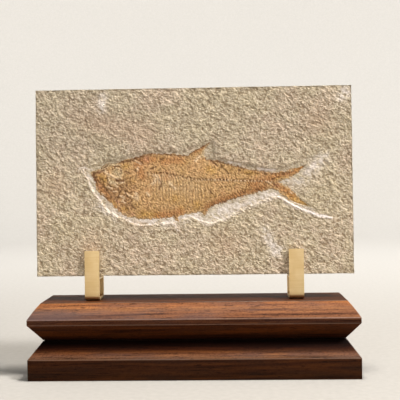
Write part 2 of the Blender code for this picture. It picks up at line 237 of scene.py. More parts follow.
def distanceTo(u, v, lines):
    nearest = np.full(len(u), 1e9)
    for line in lines:
        if len(line) == 1:
            line = line * 2
        for (ax, ay), (bx, by) in zip(line, line[1:]):
            dx, dy = bx - ax, by - ay
            t = np.clip(((u - ax) * dx + (v - ay) * dy) / max(dx * dx + dy * dy, 1e-9), 0, 1)
            nearest = np.minimum(nearest, np.hypot(u - ax - t * dx, v - ay - t * dy))
    return nearest


def depthInside(u, v, loop):
    # distance from the outline, positive inside
    inside = np.zeros(len(u), bool)
    for (ax, ay), (bx, by) in zip(loop, loop[1:] + loop[:1]):
        if ay != by:
            inside ^= ((ay > v) != (by > v)) & (u < ax + (v - ay) * (bx - ax) / (by - ay))
    return distanceTo(u, v, [loop + loop[:1]]) * np.where(inside, 1, -1)


def strokes(u, v, lines, width):
    return np.exp(-(distanceTo(u, v, lines) / width) ** 2)


def paint(mesh, name, values):
    layer = mesh.attributes.new(name, "FLOAT", "POINT")
    layer.data.foreach_set("value", np.asarray(values, dtype=np.float32))


# outlines on the face, in mm
backLine = [(-67, 67.3), (-64.3, 68.3), (-61.6, 69.2), (-60.4, 71.2), (-58.4, 72.9), (-56, 73.5), (-53, 73.2),
            (-47.7, 74.4), (-41.1, 75.8), (-35.8, 77.3), (-30.4, 78.6), (-25, 79), (-16.3, 78.9), (-8.8, 78),
            (-3.3, 77.9)]
dorsalFin = [(0.2, 80.6), (5.2, 82.9), (10.9, 86.2), (8.2, 82.2), (6.8, 79.4), (6.4, 77)]
rearBackLine = [(8.7, 75.1), (16, 73.7), (23.5, 71.8), (29.5, 70), (36.3, 68.3), (44.4, 66.8), (49.8, 65.2)]
upperLobe = [(54.6, 65.6), (62, 66.8), (66.1, 68.5), (69.5, 70.1), (76, 72.2), (71.8, 68.6), (68, 65.2),
             (64.6, 62.7), (57.8, 61.3)]
tailFork = [(53.6, 59.7)]
lowerLobe = [(58.3, 57.3), (62.9, 54.8), (66.2, 51.4), (69.8, 48.3), (73.4, 46), (80.5, 41.6), (70.2, 43.6),
             (64.9, 45.9), (60.1, 49.4), (55, 53.5)]
rearBellyLine = [(51.2, 55.8), (45.6, 54.5), (38.8, 52.7), (31.9, 50.7), (25.1, 48.8), (18.3, 46.9),
                 (11.5, 44.6), (8.8, 42.8), (8.2, 39.4), (6.2, 38.8), (4.8, 41.2)]
bellyLine = [(0.4, 40.6), (-7.2, 39.1), (-11, 38.4), (-9.8, 35), (-11, 34.8), (-13.6, 38), (-16.8, 37.4),
             (-26.5, 36.8), (-35.2, 36.8), (-41, 38), (-46.9, 40.4), (-52.3, 45.8), (-58.2, 50.7), (-63, 55.8),
             (-63.9, 60.6)]
fishOutline = backLine + dorsalFin + rearBackLine + upperLobe + tailFork + lowerLobe + rearBellyLine + bellyLine
recessOutline = [
    (-71.5, 69.8), (-66.5, 72.6), (-58, 75.6), (-48, 77.8), (-38, 80.4), (-30, 81.9), (-16, 82.2), (-5.2, 81.6),
    (0, 84.4), (6, 86.8), (12, 88), (15, 85.6), (15.2, 76.8), (23, 75), (30, 73.4), (40, 71), (49.5, 69.4),
    (58, 70), (64, 72.2), (70, 75.2), (79.7, 78.5), (88.5, 78), (86.5, 71.5), (82, 64), (81, 56), (84.5, 47),
    (90, 37), (82.5, 36.2), (75.7, 38.8), (69, 41.6), (62.4, 45.2), (55.7, 50), (49.5, 48.9), (42.1, 46.4),
    (33, 42.6), (25, 38.4), (18.1, 35.2), (10, 33), (4.6, 34.6), (-1.6, 37.2), (-8.6, 34.8), (-15.8, 33.6),
    (-24, 32.6), (-35.7, 32.4), (-41.6, 34.6), (-47, 37.4), (-52.3, 39.4), (-57.6, 43.4), (-60.9, 48.8),
    (-65.4, 53.4), (-68, 60.6), (-71, 66)]
backbone = [(-43, 67.6), (-31.3, 66.9), (-18.4, 66.2), (-8.2, 64.4), (3.3, 62.2), (17.8, 61.6), (32.1, 60.9),
            (46.5, 60.5), (53, 59.9)]
gillEdge = [(-40.2, 73.8), (-36.4, 67), (-34.2, 58), (-36.4, 49), (-42.4, 41)]


def spineHeight(u):
    return np.interp(u, [p[0] for p in backbone], [p[1] for p in backbone])


# the edges of the hollow, where the preparator's tool ran
rimHead = [(-71.5, 69.8), (-71, 66.8), (-68.1, 61.9), (-66.8, 56.1), (-64.5, 53.8), (-60.5, 48.8), (-58, 42.4),
           (-52.3, 39.4), (-47, 38.7), (-41.6, 35.4), (-35.7, 32.7), (-28.2, 33.1), (-20.1, 34.1),
           (-15.8, 35.1), (-13.1, 32.9), (-9.9, 29.1)]
rimBelly = [(0.3, 38.1), (5.3, 34.4), (10, 32.9), (18.1, 35.5), (25, 38.6), (33, 42.8), (42.1, 46.2),
            (49.5, 48.7), (54.5, 50.1)]
rimTail = [(54.5, 50.1), (57, 48.9), (60, 47), (62.9, 45.2), (65.8, 43.6), (69.5, 42.1), (73.1, 40.6),
           (76.8, 39.1), (80.4, 37.5), (85.2, 36.7), (88.5, 36)]
rimTailInner = [(58.2, 50), (61.5, 48.1), (64.4, 46.2), (67.7, 44.7), (71.3, 43.2), (75.4, 42), (77.6, 41.3)]
# what the tool left white or pale, painted shade on the hollow's upper wall, and two tints of the stone itself
toolMarks = {
    # chalk-white edges: (lines, strength, width, wander)
    "white": [([rimHead], 0.66, 0.42, 1), ([rimBelly], 0.4, 1.1, 1.5), ([rimTail], 1.6, 0.58, 0.2),
        ([rimTail[-7:-1]], 1.4, 1, 0.2),
        ([[(50.5, 19), (52.8, 13.8)], [(97.5, 118.5), (100.5, 116.5)]], 0.75, 1.7, 1.5),
        ([[(12, 36.6), (22, 40.6), (34, 46.2), (47, 51.2), (54, 52.6)]], 0.4, 1.3, 1.8),
        ([[(73, 66), (80, 73.5)]], 0.35, 2.4, 1.5), ([rimTailInner], 0.5, 0.4, 0.5),
        ([[(58.5, 46.6), (66, 42.6), (74, 39.4)]], 0.6, 0.8, 0.5),
        ([[(22.8, 73.2), (26.3, 72.5), (30.4, 71.4)], [(41.8, 68.7), (47, 67.7), (52.7, 67.4)]], 1.1, 0.5, 0.2),
        ([[(-74, 70.3), (-70.5, 70.2), (-66.4, 69.5)], [(-69.3, 67.6), (-67, 63.2)]], 0.65, 0.6, 1),
        ([[(-48, 40.2), (-42, 37), (-34, 35.2), (-24, 35.6)]], 0.45, 0.8, 1.2)],
    "bruised": [[(9, 37.5), (18, 40.5), (28, 44.5), (38, 48.5), (47, 52)],
        [(59, 60.3), (68.7, 60), (75.2, 65), (80.4, 71.4), (84.9, 75.2)], [(-60, 45), (-50, 39)],
        [(-20, 35), (-6, 37)]],
    # painted shade along the hollow's upper wall
    "shadedWall": [[(-50.8, 75.9), (-38, 78.6), (-26, 80.3), (-5.2, 80.4)], [(14.8, 84), (14.6, 79.5)],
        [(16, 75), (30, 72), (49.5, 68.2), (60, 68.9), (70, 73), (82, 76.5)]],
    "blemish": [[(-58.2, 115.8), (-59.5, 109)], [(45.7, 28.7), (48.8, 22.2), (52.6, 13.8)],
        [(51, 18.5), (55, 15)], [(99.1, 117.5), (96, 114)]],
    "tint": [[(-66.4, 19.7)], [(-70, 100), (-30, 92)], [(80, 98)], [(20, 20)], [(-90, 60)]],
}


def stoneRelief(u, v):
    # height of the split face, how much of it is cut away round the fish, and its grain alone
    a, b = drifted(u, v, 0.8, 6, (5.5, 7.5))
    grain = np.zeros(len(u))
    for i, (size, stretch, rise, turn) in enumerate(slab["grains"]):
        grain += rise * noiseAt(a, b, size, 1.7 + 3.1 * i, slab["grainTurn"] + turn, stretch)
    for i, (size, stretch, rise, turn) in enumerate(slab["chips"]):
        grain += rise * chipsAt(a, b, size, 2.3 + i, slab["grainTurn"] + turn, stretch)
    split = -slab["faceDepth"] + grain + slab["swellHeight"] * noiseAt(u, v, slab["swellSize"], 3.3)
    above = ease((v - spineHeight(u)) / 8) * (1 - 0.4 * ease((u - 13) / 5))
    wall = slab["lowerWall"] + (slab["upperWall"] - slab["lowerWall"]) * above
    hollow = ease(depthInside(*drifted(u, v, 0.9, 2.2, (21, 27)), recessOutline) / wall)
    # behind the tail the hollow runs out to the face
    runOut = 1 - 0.9 * ease((u - 60) / 16) * ease((v - 40 + 0.35 * (u - 60)) / 7)
    runOut *= 1 - 0.6 * np.exp(-((u - 17) / 3) ** 2 - ((v - 82) / 6) ** 2)
    underFish = ease((depthInside(u, v, fishOutline) - 0.2) / 1.5)
    smooth = np.maximum.reduce([0.5 * hollow * (0.25 + 0.75 * runOut), 0.7 * strokes(u, v, [rimTail], 0.9),
                                0.4 * strokes(u, v, [rimHead], 0.9)])
    height = split * (1 - smooth) - slab["recessDepth"] * hollow * runOut - slab["seatDepth"] * underFish
    return np.minimum(height, -0.02), hollow * runOut, grain * 1.3


def standUp(piece):
    # from the flat layout (u, v, height) to its leaning place on the stand
    piece.matrix_world = Matrix.Translation(Vector(slab["corner"]) * mm) @ Matrix((
        slabRight, slabUp, -slabIn)).transposed().to_4x4()
    applyTransform()


def coordinates(mesh):
    flat = np.empty(len(mesh.vertices) * 3)
    mesh.vertices.foreach_get("co", flat)
    return flat.reshape(-1, 3) / mm


def setCoordinates(mesh, points):
    mesh.vertices.foreach_set("co", (points * mm).ravel())
    mesh.update()


def addSheet(width, height, cell, centre, depth):
    bpy.ops.mesh.primitive_grid_add(x_subdivisions=round(width / cell), y_subdivisions=round(height / cell),
                                    size=mm, location=(0, 0, 0))
    sheet = bpy.context.object
    switchTo("EDIT")
    bpy.ops.transform.resize(value=(width, height, 1))
    bpy.ops.transform.translate(value=(centre[0] * mm, centre[1] * mm, -depth * mm))
    switchTo("OBJECT")
    return sheet


# the limestone: a fine front sheet and a coarse back sheet, with the sides drawn between them
deselectAll()
centre = (0, slab["height"] / 2)
back = addSheet(slab["width"], slab["height"], slab["backCell"], centre, slab["thickness"])
switchTo("EDIT")
bpy.ops.mesh.flip_normals()
deselectAll()
front = addSheet(slab["width"], slab["height"], slab["cell"], centre, 0)
# smaller squares along the tool's lines, where the edges are sharpest
switchTo("EDIT")
cage = bmesh.from_edit_mesh(front.data)
middles = np.array([face.calc_center_median()[:2] for face in cage.faces]) / mm
toTool = distanceTo(middles[:, 0], middles[:, 1], [rimHead, rimBelly, rimTail, rimTailInner])
selectOnly("FACE", lambda face: toTool[face.index] < slab["fineBand"])
bpy.ops.mesh.subdivide(number_cuts=1)
switchTo("OBJECT")
back.select_set(True)
bpy.ops.object.join()
switchTo("EDIT")
selectRim(0)
for above, below in zip([0] + slab["rings"], slab["rings"]):
    extrudeEdges((above - below) * mm)
selectRim()
bpy.ops.mesh.bridge_edge_loops()
bpy.ops.mesh.select_all(action="SELECT")
bpy.ops.mesh.normals_make_consistent(inside=False)
switchTo("OBJECT")

mesh = bpy.context.object.data
points = coordinates(mesh)
u, v, depth = points[:, 0].copy(), points[:, 1].copy(), -points[:, 2]
isFront = depth < 0.01
isBack = depth > slab["thickness"] - 0.01
toSide = np.minimum(slab["width"] / 2 - np.abs(u), np.minimum(v, slab["height"] - v))
# the grain's height is kept as a mask for painted shade in its low places and painted light on its high places
relief, hollow, lift = (np.zeros(len(u)) for _ in range(3))
relief[isFront], hollow[isFront], lift[isFront] = stoneRelief(u[isFront], v[isFront])
chip = np.clip(noiseAt(u, v, 2.6, 41) - 0.12, 0, 1) * 1.6
arris = (slab["arris"] + chip) * (1 - ease(toSide / (0.9 + 2 * chip)))
points[isFront, 2] = (relief - arris)[isFront]
backLump = slab["backLump"] * noiseAt(u, v, 9, 51) + slab["backLump"] * noiseAt(u, v, 3.6, 53, 30, 1.5)
backFace = -slab["thickness"] + slab["backDepth"] + backLump + arris
points[isBack, 2] = backFace[isBack].clip(-slab["thickness"] + 0.02)
# the sawn sides wander a little, and their corners are rubbed
wander = slab["sideDepth"] + slab["sideWave"] * noiseIn(u, v, depth, 17, 5)
wander += slab["sideRipple"] * noiseIn(u, v, depth, 2.1, 2.1)
toCorner = np.minimum(depth, slab["thickness"] - depth)
rubbed = slab["cornerRub"] * (1 - ease(toCorner / 1.1))
wander = wander.clip(0, 0.5) + rubbed + 0.5 * chip * (1 - ease(toCorner / 1.5))
onLeftRight = np.abs(np.abs(u) - slab["width"] / 2) < 0.01
onTopBottom = (v < 0.01) | (v > slab["height"] - 0.01)
points[onLeftRight, 0] -= (np.sign(u) * wander)[onLeftRight]
points[onTopBottom, 1] -= (np.sign(v - centre[1]) * wander)[onTopBottom]
setCoordinates(mesh, points)

du, dv = (0.9 * noiseAt(u, v, 2.4, seed) for seed in (63, 65))
scratched = np.maximum.reduce([strength * strokes(u + shift * du, v + shift * dv, lines, width)
                               for lines, strength, width, shift in toolMarks["white"]])
broken = (0.72 + 1.1 * noiseAt(u, v, 1.1, 61) + 0.7 * noiseAt(u, v, 6, 62)).clip(
    0.55 * ease((u - 48) / 5), 1.1)
patchy = (0.62 + 1.5 * noiseAt(u, v, 1.6, 67, -40, 1.6) + 0.9 * noiseAt(u, v, 5, 69)).clip(0, 1.2)
below = ease((spineHeight(u) - v - 3) / 6) * (1 - ease((u - 50) / 8))
pale = (0.35 + 0.65 * ease(distanceTo(u, v, [rearBellyLine]) / 4)) * hollow
pale = pale * np.maximum(below, ease((-55 - u) / 6) * (v < 66))
pale *= 1 - 0.45 * ease((-30 - u) / 12)
pale = np.maximum(pale, 0.8 * strokes(u, v, toolMarks["bruised"], 3.6))
pale = np.maximum(pale, strokes(u, v, toolMarks["blemish"], 3))
masks = {"scratched": (scratched * broken).clip(0, 1), "bruised": pale * patchy,
         # painted shade on the hollow's upper wall
         "shaded": strokes(u, v, toolMarks["shadedWall"], 1.1) * patches(u, v, 0.7, 1.5, 7, 107),
         "tint": strokes(u, v, toolMarks["tint"], 9), "lift": lift,
         # painted shade: the stone darkens towards its top and its left
         "paintedShadeTopLeft": ease((v - 45) / 55) * (0.6 + 0.4 * ease((-15 - u) / 50))}
for name, values in masks.items():
    paint(mesh, name, np.where(isFront, values, 0))
paint(mesh, "sawn", np.where(toSide < 0.01, 1, 0))
standUp(bpy.context.object)
slabPiece = newPiece("slabStone", "slab")
# the sawn sides are smooth; the split faces stay faceted, like their grains
onSides = onLeftRight | onTopBottom
mesh.polygons.foreach_set("use_smooth", [all(onSides[k] for k in face.vertices) for face in mesh.polygons])
print("slab:", len(mesh.polygons), "faces")


# the fish: a thin layer of bone in the stone
fish = {
    "cell": 0.27, "margin": 0.9, "underside": 2.7,
    "edgeHeight": -1.42, "edgeDrop": 1.1, "swell": 0.7, "swellWidth": 9,
    "grainHeight": 0.19, "lumpHeight": 0.24, "headLump": 0.25, "shardHeight": 0.26,
    "vertebraPitch": 2.15, "vertebraHeight": 0.22, "dashHeight": 0.18,
    "ribPitch": 1.95, "ribHeight": 0.13, "haemalHeight": 0.04, "neuralHeight": 0.02,
    "rayPitch": 1.25, "rayHeight": 0.1, "tailCentre": (38, 59.9), "tailRays": 62, "tailRayHeight": 0.09,
    "ivoryHeight": 0.22, "umberDepth": 0.3, "pitDepth": 0.32, "stonyDepth": 0.3,
}
# marks of each colour as (width, lines) in mm; slate is grey-brown skull plate, stony is bare stone
boneMarks = {
    "umber": [
        (0.4, [[(-52.4, 71.2), (-50.6, 71.1), (-47.9, 71.2)], [(-58.6, 69.8), (-57.6, 71.3), (-56.2, 71.8)],
            [(17.4, 71.9), (18.7, 69.3), (20.7, 67.4), (22.8, 65.5)], [(-48.6, 58.2), (-46, 57)],
            [(0.5, 80.2), (5.4, 82.6), (9.6, 85.2)]]),
        (0.45, [[(-60.2, 69.8), (-59.2, 71.6), (-57.6, 72.8), (-55.6, 72.9)],
            [(50.6, 61.2), (54.3, 62.7), (57.3, 64), (60.6, 64.8), (64.7, 66.3)]]),
        (0.5, [[(-47.8, 54.7), (-48.9, 52.1), (-50.1, 49.7)], [(-44.9, 55), (-43.9, 53.1), (-42.8, 51.2)],
            [(-41.8, 50.4), (-40.2, 49.1), (-41.5, 47.2)], [(-43.3, 59.7), (-43.8, 58.1)],
            [(-21.8, 75.3), (-20.2, 75.3)], [(-27.9, 69), (-25.8, 70), (-24.2, 70.3)],
            [(8.4, 75), (11.1, 74.6), (13.2, 72.5), (15.2, 70.9)],
            [(16.3, 73.2), (18.7, 72.4), (23.7, 71.6), (26.1, 70.7)], [(29.2, 67.8), (30.2, 67)],
            [(34.4, 64.8), (36.8, 65)], [(39.7, 66), (41.2, 65.2)], [(10.8, 54.1), (12.1, 52.5)],
            [(52, 58.3), (53.8, 56.4)], [(-60.2, 68.2), (-58.2, 68.6)], [(-56.5, 60.2), (-53.8, 58)],
            [(-13.6, 39.4), (-12, 37.4)], [(11, 44.5), (18, 46.9), (25, 48.8), (33, 51.1)]]),
        (0.6, [[(-62.6, 62.4), (-61.1, 60.5), (-59.2, 59.4), (-58.2, 58.1), (-56.6, 55.4)],
            [(-60, 63.4), (-58.7, 61.8), (-58.9, 59.4)], [(-43.3, 54.7), (-41.7, 54.1), (-40.4, 54.4)],
            [(-45, 67.4), (-42.9, 67.4), (-41.6, 66.6)], [(-38.1, 68.4), (-37.1, 67.8)],
            [(-34.3, 77.1), (-35.1, 75.2), (-33, 72.8)], [(-21.9, 62), (-20.9, 59.4), (-22.5, 56)],
            [(-9.5, 77.4), (-3.2, 77.8)], [(30.3, 69.9), (33.4, 69), (37.3, 67.9), (41.3, 67.3), (46, 66.4)],
            [(31.4, 54), (33.4, 52.7)], [(40.3, 55), (43.1, 54.3)], [(45.5, 65.8), (46.2, 64.3)],
            [(71, 70.2), (75.5, 71.8)]]),
        (0.7, [[(-65.8, 65.6), (-64.5, 63.4), (-63.5, 61)],
            [(-49.5, 73.8), (-45.8, 74), (-43.1, 74.3), (-40.4, 74.8), (-38.3, 75.5), (-36.4, 76.6), (-34.3, 77.1)],
            [(-58.8, 52.2), (-57.2, 50.6), (-56.1, 50.1)], [(-40.5, 45.9), (-40, 44.6), (-38.1, 43.8)]]),
        (0.8, [[(-64.6, 66.4), (-62.9, 67.4), (-61.2, 67.2)], [(26.1, 70.7), (28.2, 70.2), (30.3, 69.9)]]),
        (0.9, [[(-50.1, 62.2), (-48.5, 61.6), (-47, 61.6), (-45.1, 61.8)]]),
        (1.2, [[(-65.2, 66.2), (-64.8, 63.6)]])],
    "ivory": [
        (0.4, [[(-52.4, 71.9), (-50, 71.7), (-47.6, 72)], [(26.3, 71.3), (29.7, 71)]]),
        (0.5, [[(-50.5, 70.2), (-47.9, 69.5), (-46.4, 68.2)], [(-52.3, 54.8), (-50.2, 54.8)],
            [(-44.6, 53.9), (-42.3, 52.5), (-39.6, 51.2), (-37.8, 50.1)],
            [(-48.1, 52.1), (-45, 50.5), (-46.6, 48.4), (-44.7, 47.3)], [(-59.8, 53.8), (-58, 52.2)],
            [(47.6, 59.8), (49.8, 58.7)], [(62.3, 52.9), (63.7, 51.8)], [(67.7, 49.9), (69.6, 48.4)]]),
        (0.6, [[(-48.5, 65.3), (-47.2, 63.2)], [(-51.2, 59), (-49.4, 57.9)], [(-56, 57.8), (-53.4, 56.9)],
            [(-38.3, 75), (-36.5, 73.9), (-34.1, 72.5)], [(-55.4, 64.4), (-54.9, 61.7), (-53.9, 59.9)]]),
        (0.7, [[(-36, 70.5), (-36.3, 68.3)], [(-30.3, 53.7), (-29, 51.8)]]),
        (0.8, [[(-50.7, 59.8), (-48.6, 60.3), (-45.4, 60.8)], [(-15.5, 60), (-12, 56)]]),
        (0.9, [[(-58.3, 68.9), (-55.9, 66.5), (-53.3, 64.9), (-51.2, 63.8), (-49.3, 63.2)],
            [(-25.6, 65), (-23.5, 64.4), (-22.2, 62.3), (-21.7, 60.2)]]),
        (1, [[(1.5, 74), (4, 76.6)]]),
        (1.1, [[(-26.2, 59.6), (-24, 62.5)]]),
        (1.2, [[(-37.6, 53.5), (-36.6, 50)]])],
    "gold": [
        (1, [[(53.5, 61.6), (57.2, 62.6), (60.9, 61.8)]]),
        (1.1, [[(-51.9, 48.2), (-50.9, 45.2)]]),
        (1.2, [[(-46.1, 43.9), (-44, 43)], [(-24, 66.6)], [(76.1, 42.6)]]),
        (1.3, [[(34.7, 65.9), (41.2, 65.2)], [(66.9, 67.3), (71, 68.4)]]),
        (1.8, [[(-7.9, 43.6)]]),
        (1.9, [[(62, 51.5), (65.9, 48), (69.5, 46.2), (76, 43.6)]]),
        (2, [[(-39.8, 61)]]),
        (2.2, [[(-44.2, 71.4)]]),
        (2.4, [[(-60.5, 65), (-58.1, 62.4)]]),
        (2.5, [[(9.7, 68.1), (12.8, 67.2)], [(-33, 40), (-24, 39.5)], [(2, 46)]]),
        (2.6, [[(-12, 50.3)]])],
    "rose": [
        (0.7, [[(31, 70.1), (34.5, 69)]]),
        (0.8, [[(-49.3, 44.7), (-48.8, 42)], [(52.7, 57.9), (55, 57.5)], [(71.4, 70.9), (73.2, 71.3)],
            [(-66.2, 65), (-64, 61.5)]]),
        (0.9, [[(-61.8, 67.7), (-59.6, 68.2)], [(-49.1, 62.2)], [(-50.3, 48.7), (-48.7, 47.9)]]),
        (1, [[(-62.4, 57.6), (-60.8, 57.6)]]),
        (1.5, [[(-40, 39.5)]]),
        (2, [[(-30.5, 76.2)]])],
    "rust": [
        (1, [[(1, 79.5), (9, 83.8)]]),
        (1.6, [[(-57, 47), (-52, 44.5)]]),
        (1.8, [[(51, 63.4), (58.7, 64.4), (64.7, 66.4), (70, 69)]]),
        (1.9, [[(53, 57.6), (58.5, 54.8), (64, 51)]]),
        (2, [[(30, 52.4), (38.4, 54.5), (46, 56.5)]]),
        (2.2, [[(8.5, 43.5), (14.2, 47), (20, 49), (27, 51.2)], [(-63.2, 62), (-60, 57), (-55, 51)]]),
        (2.4, [[(-24, 38.6), (-16, 39.6), (-8, 41.2)]]),
        (2.5, [[(-36, 72), (-33, 64)]]),
        (2.6, [[(-20, 74), (-8, 75)]]),
        (3, [[(38, 58), (46, 61), (50, 62)]]),
        (3.2, [[(-34, 75), (-26, 75.5)]])],
    "slate": [
        (1.2, [[(-65, 66), (-65, 62.5)]]),
        (1.4, [[(-45.5, 48.5), (-42, 46)]]),
        (1.6, [[(-41.5, 62), (-39, 58)]]),
        (1.8, [[(-54, 53), (-51, 51)]]),
        (2, [[(-47, 52), (-44, 50)]]),
        (2.4, [[(-55, 55.5), (-50, 56), (-44.5, 57.5)]])],
    "stony": [
        (0.8, [[(74.5, 42.6), (77, 42.4)]]),
        (0.9, [[(71, 71.4), (74, 71.8)]]),
        (1.1, [[(56, 60.3), (62, 61.6)]]),
        (1.2, [[(6, 77.6), (7.6, 80.8), (9, 83.4)], [(-56, 72.2), (-50, 73.4)]]),
        (1.6, [[(-53.4, 61.2), (-51.6, 60.6)]]),
        (1.9, [[(-59.8, 70.2), (-57, 71.8)]]),
        (2.6, [[(-50.6, 67.4), (-48.4, 66.4)]])],
    "pit": [(0.42, [[spot] for spot in (
        (-14.8, 74), (-14.8, 69.9), (-7.5, 71.6), (-3.8, 70.5), (-3.8, 68.9), (-0.8, 47.8), (-13.1, 47.9),
        (-21.8, 48.8), (-29.3, 42.4), (-24.3, 42.4), (-23.8, 40.4), (-15.8, 40.8), (-27.5, 57.4), (-27.6, 62.9),
        (-28, 60), (-31.5, 63.2), (-28, 67.2), (-24, 66.3), (-21.9, 66.5), (-19.8, 66.5), (-17.1, 65.2),
        (26.4, 57.3), (32.7, 58), (34, 56.9), (35.6, 57.7), (39.6, 57.6), (11.6, 52.7), (10.8, 54.3),
        (-56.6, 55.6), (-40.8, 63.4))])],
}


def marked(u, v, name):
    strength = np.zeros(len(u))
    for width, lines in boneMarks[name]:
        strength = np.maximum(strength, strokes(u, v, lines, width))
    return strength


deselectAll()
low, high = np.min(fishOutline, axis=0) - 2, np.max(fishOutline, axis=0) + 2
addSheet(high[0] - low[0], high[1] - low[1], fish["cell"], (low + high) / 2, 0)
mesh = bpy.context.object.data
points = coordinates(mesh)
outside = depthInside(points[:, 0], points[:, 1], fishOutline) <= -fish["margin"]
switchTo("EDIT")
selectOnly("VERT", lambda vert: outside[vert.index])
bpy.ops.mesh.delete(type="VERT")
selectRim()
extrudeEdges(-fish["underside"] * mm)
bpy.ops.mesh.edge_face_add()
bpy.ops.mesh.select_all(action="SELECT")
bpy.ops.mesh.normals_make_consistent(inside=False)
switchTo("OBJECT")

# where each point lies on the fish
points = coordinates(mesh)
onFace = points[:, 2] > -0.01
u, v = points[onFace, 0], points[onFace, 1]
fray = 0.8 + 0.6 * ease((u - 55) / 4)
ragged = depthInside(u + fray * (noiseAt(u, v, 0.9, 71) + noiseAt(u, v, 2.3, 75)),
                     v + fray * (noiseAt(u, v, 0.9, 73) + noiseAt(u, v, 2.3, 77)), fishOutline)
drop = spineHeight(u) - v
gill = np.interp(v, [p[1] for p in gillEdge[::-1]], [p[0] for p in gillEdge[::-1]])
head = 1 - ease((u - gill) / 2)
body = (1 - head) * (1 - ease((u - 50) / 4))
rear = ease((u - 2) / 6)
tail = ease((u - 51) / 3)
warped = drifted(u, v, 0.5, 1.5, (81, 83))
marks = {name: marked(*warped, name) for name in boneMarks}

# backbone, ribs, spines and rays
onSpine = body * ease((u + 33) / 5)
beat = np.cos(2 * np.pi * (u + 1.5 * noiseAt(u, v, 2.8, 85)) / fish["vertebraPitch"])
vertebrae = onSpine * np.exp(-(drop / 0.75) ** 2)
dashes = onSpine * np.exp(-((drop - 1.3 + 0.9 * rear) / (0.8 - 0.25 * rear)) ** 2)
ribPhase = u - 1.6 * ease(drop / 4) - 0.03 * drop + 0.9 * noiseAt(u, v, 7, 87)
ribs = np.cos(2 * np.pi * ribPhase / fish["ribPitch"]) * patches(u, v, 0.62, 1.3, 3.5, 109)
belly = body * ease((drop - 0.6) / 2) * (1 - ease((u - 6) / 8))
belly = belly * ease((u + 33) / 12) * (1 - 0.8 * ease((drop - 11) / 9))
haemal = np.cos(2 * np.pi * (u - 0.75 * drop) / fish["ribPitch"]) * body * ease((drop - 0.8) / 2)
haemal = haemal * ease((u - 4) / 8)
neural = np.cos(2 * np.pi * (u + 0.55 * drop) / fish["ribPitch"]) * body * ease((-drop - 0.8) / 2)
fringe = (1 - ease((ragged - 2.6) / 1.6)) * ease((u - 6) / 3) * (1 - ease((u - 46) / 4)) * (drop > 0)
rays = np.cos(2 * np.pi * (u - 0.55 * ragged) / fish["rayPitch"]) * fringe
bearing = np.arctan2(v - fish["tailCentre"][1], u - fish["tailCentre"][0])
tailRays = np.cos(bearing * fish["tailRays"] + 2 * noiseAt(u, v, 5, 89)) * tail
grain = noiseAt(u, v, 0.6, 91, -47, 1.4)
lump = noiseAt(u, v, 1.05, 93, -47, 1.7)
shards = noiseAt(u, v, 0.9, 97, 40, 2.6)

swell = fish["swell"] * ease(ragged / fish["swellWidth"])
height = fish["edgeHeight"] + swell * (1 - 0.5 * ease((u - 10) / 20))
height -= fish["edgeDrop"] * (1 - ease((ragged + fish["margin"]) / fish["margin"]))
height += (fish["grainHeight"] * grain + fish["lumpHeight"] * lump) * (1 - 0.35 * belly + 0.2 * rear * body)
height += fish["vertebraHeight"] * vertebrae * (0.2 - 0.8 * beat)
height += fish["dashHeight"] * dashes * (0.5 - 0.5 * beat)
height += fish["ribHeight"] * ribs * belly * (0.9 + 0.8 * lump)
height += fish["haemalHeight"] * haemal + fish["neuralHeight"] * neural
height += fish["rayHeight"] * rays + fish["tailRayHeight"] * tailRays
height += fish["ivoryHeight"] * marks["ivory"] - fish["umberDepth"] * marks["umber"]
height -= fish["pitDepth"] * marks["pit"] + fish["stonyDepth"] * marks["stony"] * head
height += head * (fish["headLump"] * noiseAt(u, v, 3.2, 95) + fish["shardHeight"] * shards)
points[onFace, 2] = height.clip(-fish["underside"] + 0.05, -0.1)
setCoordinates(mesh, points)

# the colours' masks: dark edges and joints, pale beads on the backbone, stone where the bone is thin
edgeLine = 1.15 * np.exp(-((ragged - 0.2) / 0.65) ** 2) * patches(u, v, 0.8, 1.4, 2.5, 99)
finWeb = (u > 2.5) * (v > 76) * (v < 79.6 + 0.54 * u)
topEdge = edgeLine * (drop < 0) * ease((u + 56) / 10) * (u < 60) * (1 - finWeb)
bottomEdge = edgeLine * (drop > 0) * ease((u + 44) / 6) * (u < 52)
spineOff = drop + 0.1 + 0.5 * noiseAt(u, v, 2.6, 103)
spineLine = onSpine * np.exp(-(spineOff / (0.85 - 0.1 * rear)) ** 2)
spineLine = spineLine * (1.05 + 1.6 * noiseAt(u, v, 3, 105)).clip(0.25, 1.2)
rearFringe = (1 - ease((ragged - 1.8) / 2.6)) * ease((u - 4) / 6) * (drop > 0) * (1 - tail)
hatching = (2 * noiseAt(u, v, 0.75, 113, -55, 3) + 1.2 * lump).clip(0, 0.75)
umber = np.maximum.reduce([
    marks["umber"], 0.5 * head * ((-shards - 0.25) * 4).clip(0, 1), 0.9 * marks["pit"], topEdge,
    0.2 * bottomEdge, spineLine * (0.66 + 0.6 * beat + 1.1 * lump).clip(0, 1), rearFringe * hatching])
thinned = (1 - ease((ragged - 0.1) / (1.3 + 0.4 * tail))) * patches(u, v, 0.3, 2, 1.5, 101)
faded = strokes(u, v, [[(-20, 59), (0, 57)]], 6) * patches(u, v, 0.9, 1.2, 2.2, 111, 75, 2)
masks = {name: marks[name] for name in ("gold", "rose", "rust", "slate")}
masks["umber"] = umber * (1 - 0.35 * tail)
masks["ivory"] = np.maximum(marks["ivory"], (0.6 + 0.8 * rear) * dashes * (0.5 - 0.5 * beat) ** 2).clip(0, 1)
masks["stony"] = np.maximum.reduce([marks["stony"], 0.8 * thinned * (1 - topEdge), 0.35 * faded])
masks["ribs"] = 1.5 * belly * ribs * (0.9 + 1.2 * lump) + 0.25 * haemal + 0.1 * neural
masks["ribs"] += 0.9 * rays + 0.25 * tailRays
